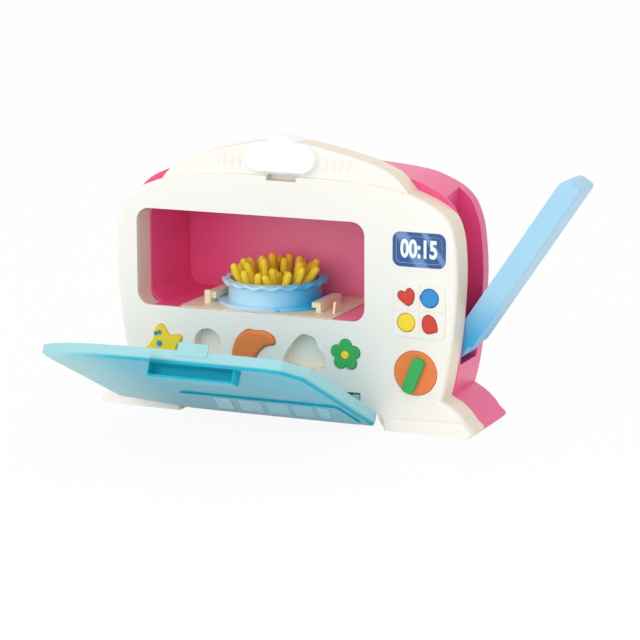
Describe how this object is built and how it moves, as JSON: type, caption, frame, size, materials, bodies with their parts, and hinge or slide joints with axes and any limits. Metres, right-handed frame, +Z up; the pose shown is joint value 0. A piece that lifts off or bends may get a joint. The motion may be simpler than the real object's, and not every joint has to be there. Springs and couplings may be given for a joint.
{
  "type": "toy oven",
  "caption": "Toy kitchen oven for modelling dough with a drop-down tray door, a side lever that lifts a press piston, a pull-out pan and moulds in its front.",
  "frame": {"origin": "On the floor plane, midway between the feet, under the middle of the bar that joins them at the back, 75.5 mm behind the front face", "axes": "+X to the right seen from the front, the front faces -Y, +Z up"},
  "size_m": [0.4047, 0.2734, 0.2315],
  "materials": {
    "white_plastic": "moulded, warm white",
    "badge_white": "moulded, plain",
    "pink_plastic": "moulded, rose pink",
    "magenta_plastic": "moulded, deep pink",
    "cream_plastic": "moulded, cream",
    "inner_plastic": "moulded, natural",
    "label": "printed film, plain digits",
    "lever_plastic": "moulded, sky blue",
    "pan_plastic": "moulded, blue",
    "door_plastic": "moulded, translucent turquoise",
    "yellow_dough": "soft modelling dough",
    "orange_dough": "soft modelling dough",
    "green_dough": "soft modelling dough",
    "red_dough": "soft modelling dough",
    "blue_dough": "soft modelling dough",
    "steel": "drawn wire"
  },
  "bodies": {
    "casing": {"front_casing": "white_plastic", "crown_cover": "white_plastic", "crown_plate": "badge_white", "rear_casing": "pink_plastic", "oven_liner": "magenta_plastic", "platform": "cream_plastic", "dough_cylinder": "inner_plastic", "guide_post_left": "steel", "guide_post_right": "steel", "timer_label": "label", "button_panel": "white_plastic", "star_dough": "yellow_dough", "star_dots": "blue_dough", "croissant_dough": "orange_dough", "flower_petals": "green_dough", "flower_centre": "yellow_dough", "heart_dough": "red_dough", "blue_ball_dough": "blue_dough", "yellow_ball_dough": "yellow_dough", "strawberry_dough": "red_dough", "dial_dough_disc": "orange_dough", "dial_dough_bar": "green_dough", "casing_screw_1": "steel", "casing_screw_2": "steel", "casing_screw_3": "steel", "casing_screw_4": "steel", "casing_screw_5": "steel", "casing_screw_6": "steel", "hinge_pin_left": "steel", "hinge_pin_right": "steel"},
    "door": {"door": "door_plastic"},
    "lever": {"lever": "lever_plastic", "lever_shaft": "steel", "lever_gear": "inner_plastic"},
    "lift": {"lift_carriage": "inner_plastic", "piston_head": "inner_plastic", "piston_screw": "steel"},
    "pan": {"pan": "pan_plastic", "die_plate": "pan_plastic", "fries_dough": "yellow_dough"}
  },
  "joints": [
    {"name": "door_hinge", "type": "hinge", "parent": "casing", "child": "door", "pos_m": [0, -0.072, 0.014], "axis": [-1, 0, 0], "range_deg": [0, 64.4]},
    {"name": "lever_hinge", "type": "hinge", "parent": "casing", "child": "lever", "pos_m": [0.137, -0.0285, 0.064], "axis": [0, 1, 0], "range_deg": [-34, 51]},
    {"name": "lift_slide", "type": "slide", "parent": "casing", "child": "lift", "axis": [0, 0, 1], "range_m": [-0.0072, 0.0107]},
    {"name": "pan_slide", "type": "slide", "parent": "casing", "child": "pan", "axis": [0, 1, 0], "range_m": [-0.012, 0]}
  ],
  "couplings": [
    {"joint": "lift_slide", "follows": "lever_hinge", "m_per_rad": 0.012}
  ]
}
